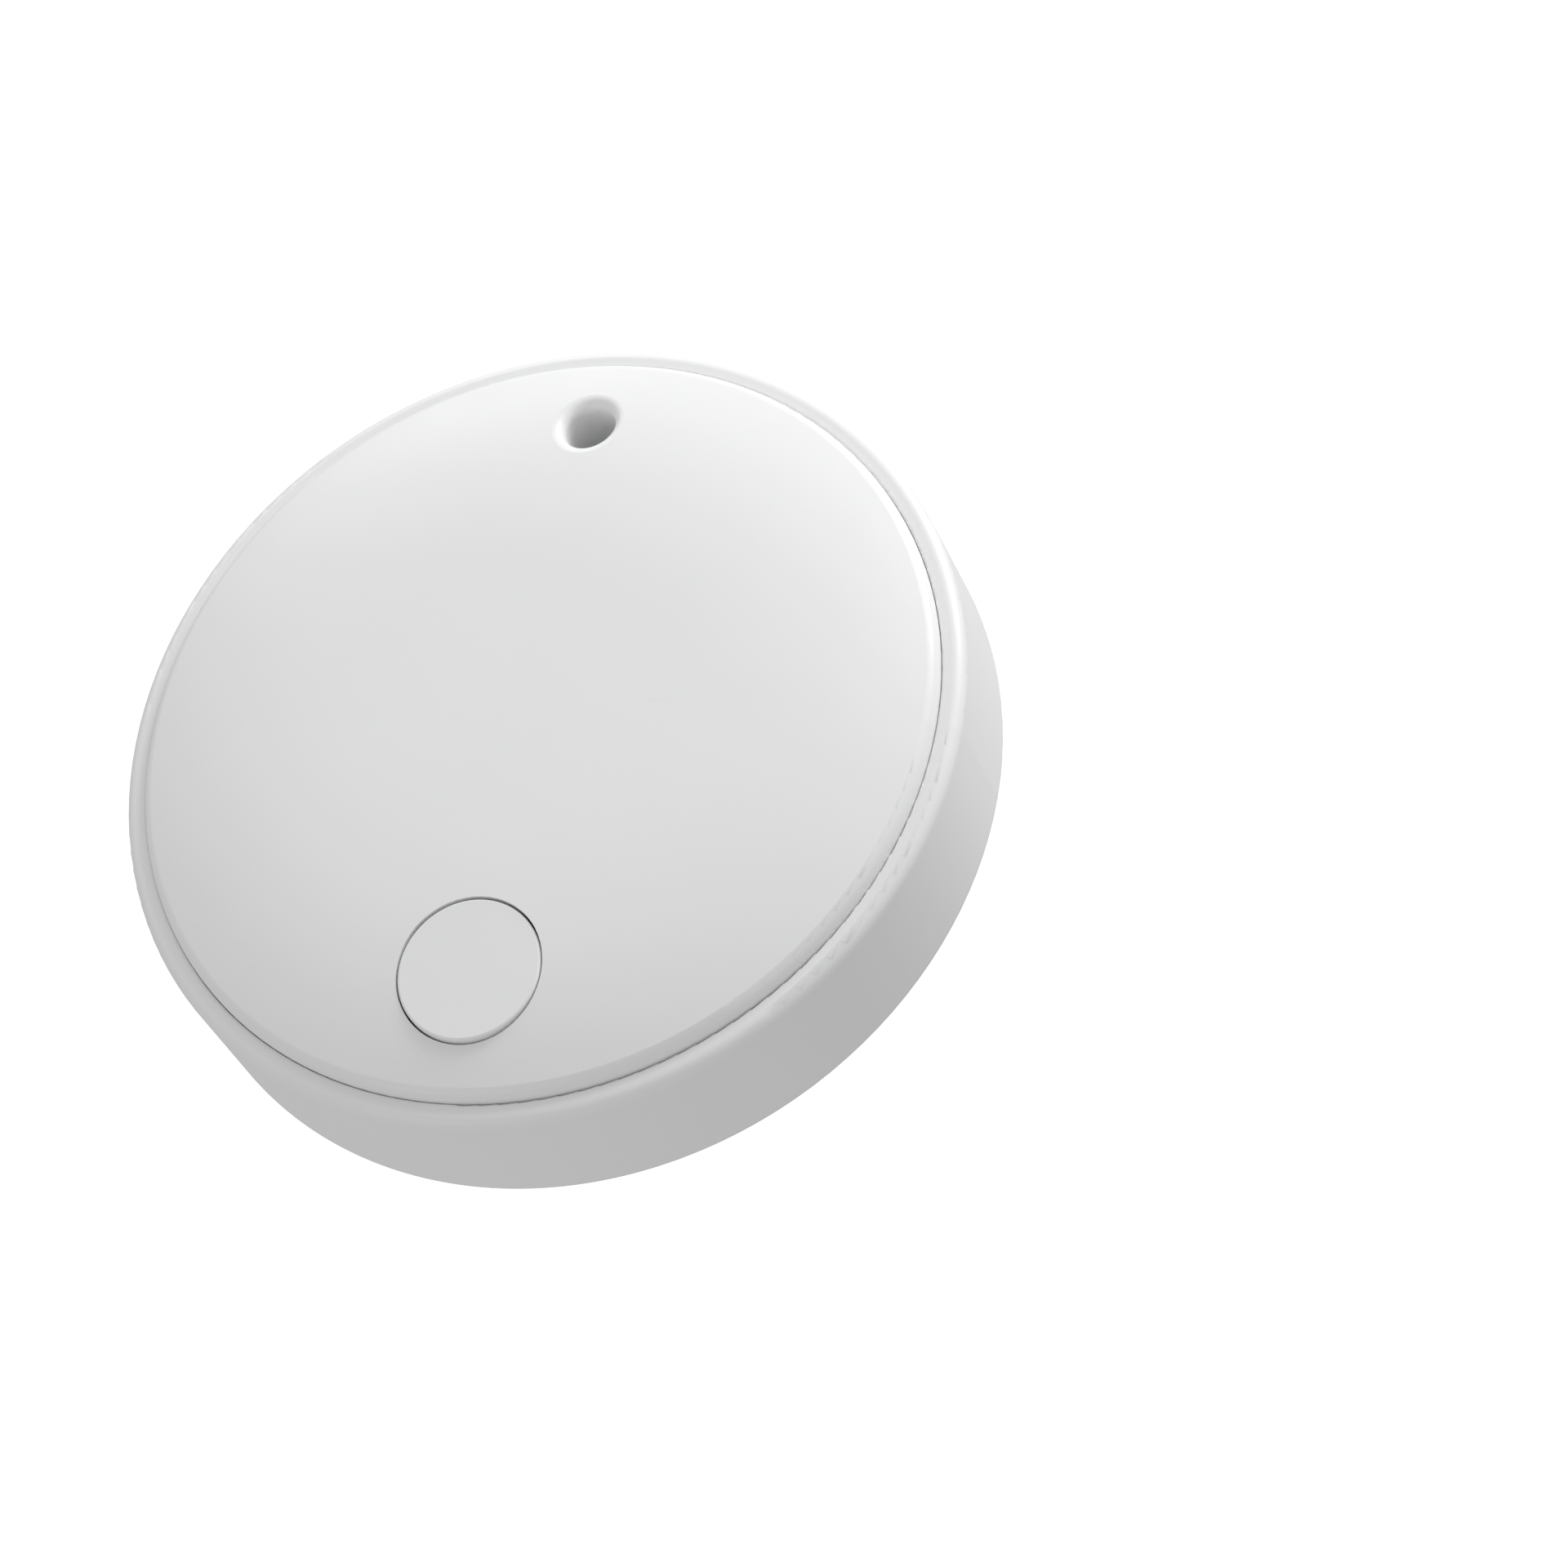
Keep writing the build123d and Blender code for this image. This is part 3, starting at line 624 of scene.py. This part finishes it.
def make_camera():
    back = direction(CAMERA_AZIMUTH - 90, CAMERA_ELEVATION)
    aim = Vector((*CAMERA_AIM, -CAMERA_AIM_DEPTH)) * TAG_RADIUS
    aim.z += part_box("front_cover")[1].z
    data = bpy.data.cameras.new("camera")
    data.sensor_width = CAMERA_SENSOR
    data.lens = CAMERA_LENS
    data.clip_start = CAMERA_CLIP_START
    data.clip_end = CAMERA_CLIP_END
    camera = bpy.data.objects.new("camera", data)
    scene.collection.objects.link(camera)
    roll = Matrix.Rotation(-math.radians(CAMERA_ROLL), 3, "Z")
    turn = back.to_track_quat("Z", "Y").to_matrix() @ roll
    place = Matrix.Translation(aim + back * CAMERA_DISTANCE * TAG_RADIUS)
    camera.matrix_world = place @ turn.to_4x4()
    scene.camera = camera


def make_light(name, azimuth, elevation, distance, width, power):
    data = bpy.data.lights.new(name, "AREA")
    data.shape = "DISK"
    data.size = width
    data.energy = power
    light = bpy.data.objects.new(name, data)
    back = direction(azimuth, elevation)
    light.location = tag_centre + back * distance
    light.rotation_euler = back.to_track_quat("Z", "Y").to_euler()
    scene.collection.objects.link(light)


def make_floor():
    builder = bmesh.new()
    bmesh.ops.create_grid(builder, x_segments=FLOOR_CELLS, y_segments=FLOOR_CELLS, size=FLOOR_SIZE / 2)
    mesh = bpy.data.meshes.new("floor")
    builder.to_mesh(mesh)
    builder.free()
    floor = bpy.data.objects.new("floor", mesh)
    floor.location = (0, 0, cad_box[0].z - FLOOR_DEPTH)
    scene.collection.objects.link(floor)
    material, tree, surface, place = start("floor_paper", FLOOR_ROUGHNESS)
    cloud = noise(tree, place, FLOOR_CLOUD)
    paper = mottled(tree, cloud, shade(FLOOR_COLOUR, FLOOR_CLOUD_SHADE), FLOOR_COLOUR)
    tree.links.new(paper, surface.inputs["Base Color"])
    surface.inputs["Emission Color"].default_value = (1, 1, 1, 1)
    surface.inputs["Emission Strength"].default_value = FLOOR_GLOW
    floor.data.materials.append(material)
    floor.visible_diffuse = False
    floor.visible_glossy = False


def make_sky():
    world = bpy.data.worlds.new("studio")
    world.use_nodes = True
    backdrop = world.node_tree.nodes["Background"]
    backdrop.inputs["Color"].default_value = (1, 1, 1, 1)
    backdrop.inputs["Strength"].default_value = SKY_STRENGTH
    scene.world = world


make_camera()
for light in LIGHTS:
    make_light(*light)
make_floor()
make_sky()
scene.view_settings.view_transform = "Standard"
scene.view_settings.look = "None"
